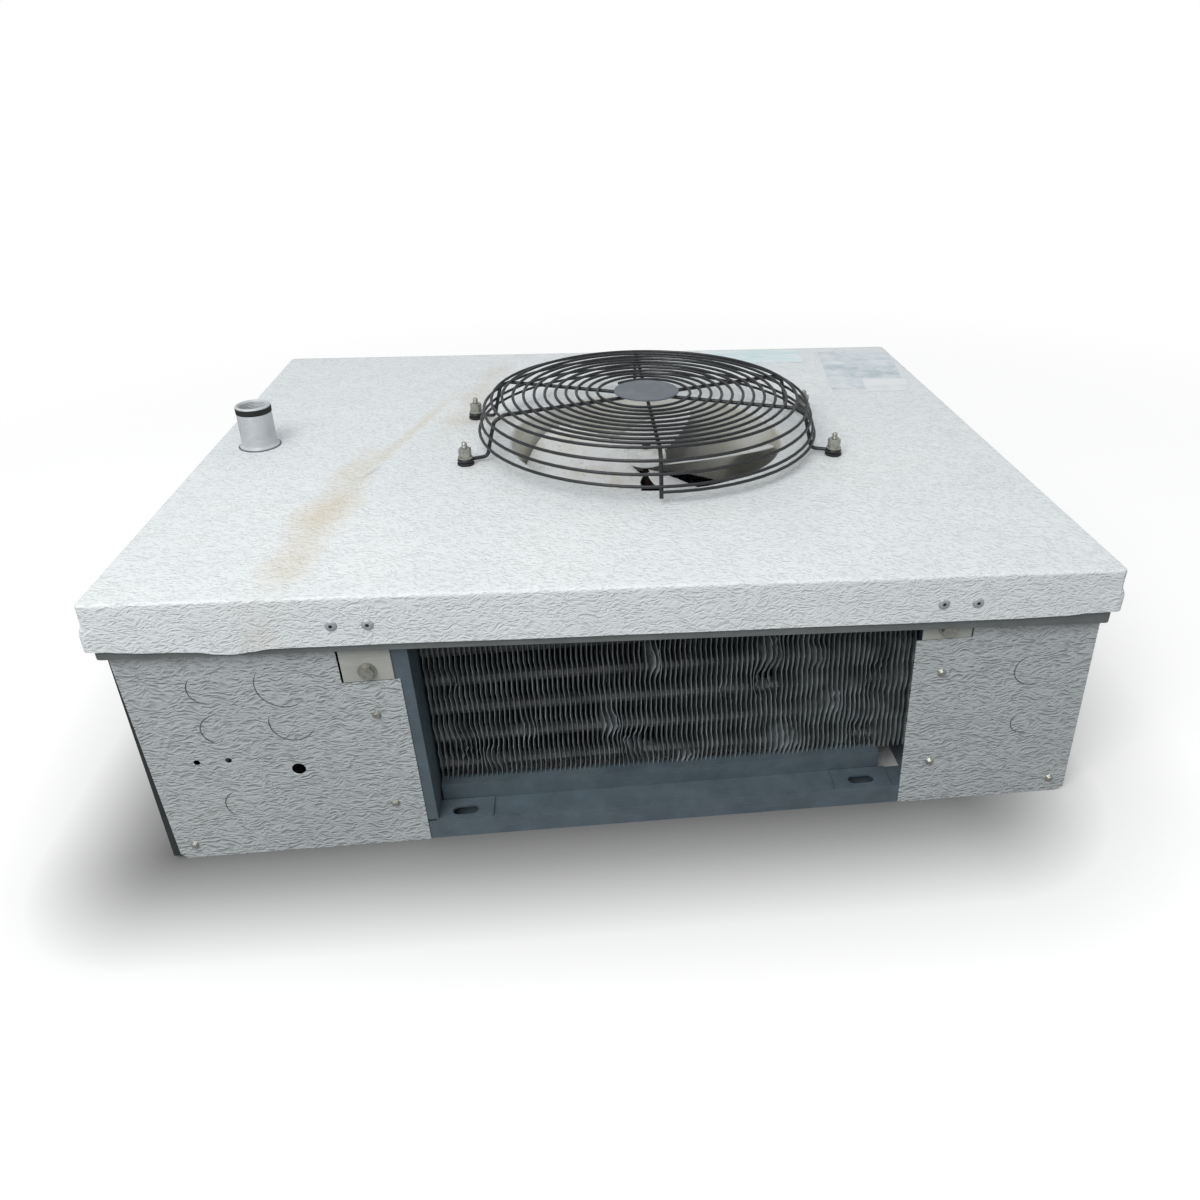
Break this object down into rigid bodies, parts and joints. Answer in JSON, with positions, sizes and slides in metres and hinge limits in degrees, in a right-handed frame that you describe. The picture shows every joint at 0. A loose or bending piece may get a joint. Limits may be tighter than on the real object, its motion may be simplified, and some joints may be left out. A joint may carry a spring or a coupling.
{
  "type": "walk-in unit cooler",
  "caption": "Low-profile centre-mount unit cooler with finned coils, end covers, a sloping drain pan, a drain coupling and a wire-guarded fan.",
  "frame": {"origin": "middle of the ceiling-mounting face, which is also the middle of the base of the bounding box", "axes": "+Z points from the ceiling-mounting face to the drain pan and the fan guard; +X runs along the long side, away from the drain coupling; -Y faces the coil opening with the pan brackets and knockouts in view. The row lies on its mounting face, pan upwards; in use it hangs from a ceiling the other way up, with +Z pointing down."},
  "size_m": [0.8391, 0.6728, 0.3226],
  "materials": {
    "stucco_pan": "stucco-embossed aluminium, off-white",
    "stucco_case": "stucco-embossed aluminium, grey",
    "plain_alu": "plain aluminium plate",
    "inner_alu": "mill aluminium",
    "galvanised": "galvanised sheet",
    "fin_alu": "aged fin stock",
    "copper": "aged copper tube",
    "black_wire": "black coated wire",
    "zinc": "zinc-plated fastener",
    "rubber": "black rubber",
    "medallion": "grey painted disc",
    "fan_black": "black fan",
    "motor_black": "black motor shell",
    "steel": "ground steel shaft",
    "drain_grey": "cast aluminium coupling",
    "terminal": "moulded block"
  },
  "bodies": {
    "cabinet": {"bracket_bolts": "zinc", "ceiling_panel": "inner_alu", "coil_baffle_back": "galvanised", "coil_baffle_front": "galvanised", "coil_fins_back": "fin_alu", "coil_fins_front": "fin_alu", "coil_plates_back": "galvanised", "coil_plates_front": "galvanised", "coil_tubes_back": "copper", "coil_tubes_front": "copper", "cover_left_back": "stucco_case", "cover_left_front": "stucco_case", "cover_right_back": "stucco_case", "cover_right_front": "stucco_case", "cover_screws": "zinc", "drain_fitting": "drain_grey", "drain_locknut": "drain_grey", "fan_venturi": "inner_alu", "ground_lug": "zinc", "guard_medallion": "medallion", "guard_nuts": "zinc", "guard_ribs": "black_wire", "guard_rings": "black_wire", "guard_side_rings": "black_wire", "guard_studs": "zinc", "guard_washers": "rubber", "hanger_channel_back": "galvanised", "hanger_channel_front": "galvanised", "hanger_plates": "galvanised", "liquid_line": "copper", "motor_body": "motor_black", "motor_mount": "galvanised", "pan_brackets": "plain_alu", "pan_inner": "inner_alu", "pan_rivets": "zinc", "pan_skin": "stucco_pan", "return_bends": "copper", "side_panel_left": "stucco_case", "side_panel_right": "stucco_case", "suction_line": "copper", "terminal_block": "terminal"},
    "rotor": {"motor_shaft": "steel", "fan_hub": "fan_black", "fan_blades": "fan_black"}
  },
  "joints": [
    {"name": "fan_spin", "type": "hinge", "parent": "cabinet", "child": "rotor", "pos_m": [0.051, 0, 0.2], "axis": [0, 0, 1], "continuous": true}
  ]
}
